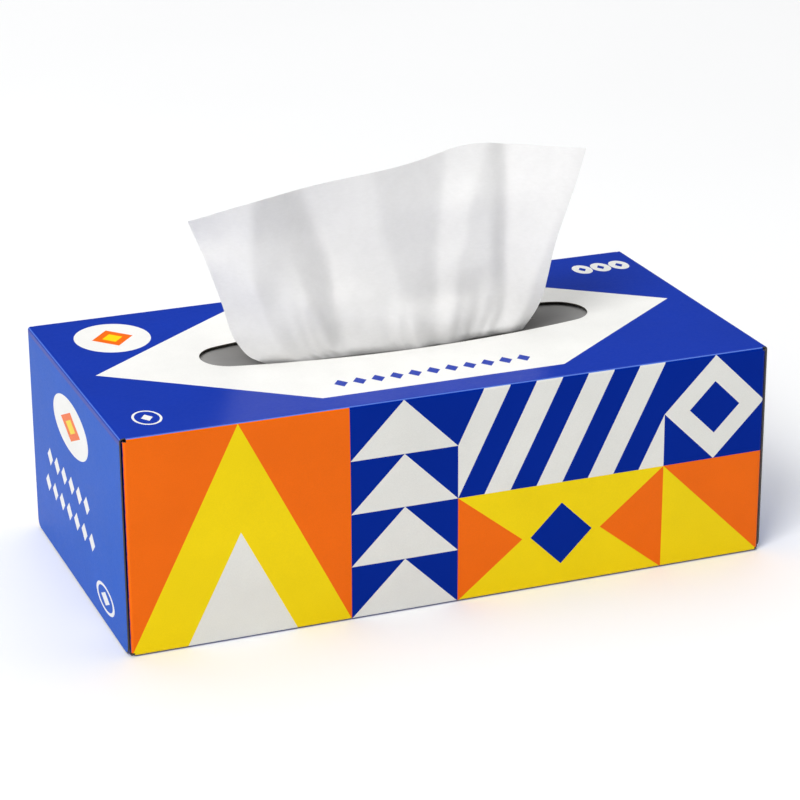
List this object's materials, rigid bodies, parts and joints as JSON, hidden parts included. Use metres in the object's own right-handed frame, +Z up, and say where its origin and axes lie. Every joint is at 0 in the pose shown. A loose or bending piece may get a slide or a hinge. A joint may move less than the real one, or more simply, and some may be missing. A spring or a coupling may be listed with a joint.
{
  "type": "tissue box",
  "caption": "Flat rectangular folding carton of facial tissues with an oval opening, a slit film under it and one sheet pulled half way out.",
  "frame": {"origin": "centre of the carton's base, on the surface it stands on", "axes": "+X along the long side of the carton, +Y from the front panel to the back panel, +Z up"},
  "size_m": [0.234, 0.119, 0.1437],
  "materials": {
    "printed_board": "gloss varnish over a flat colour print on white-lined board with a grey back",
    "clear_film": "thin slightly milky polyethylene film",
    "tissue": "soft matt creped tissue"
  },
  "bodies": {
    "root": {"carton": "printed_board", "slit_film": "clear_film", "pulled_tissue": "tissue", "tissue_stack": "tissue"}
  },
  "joints": []
}
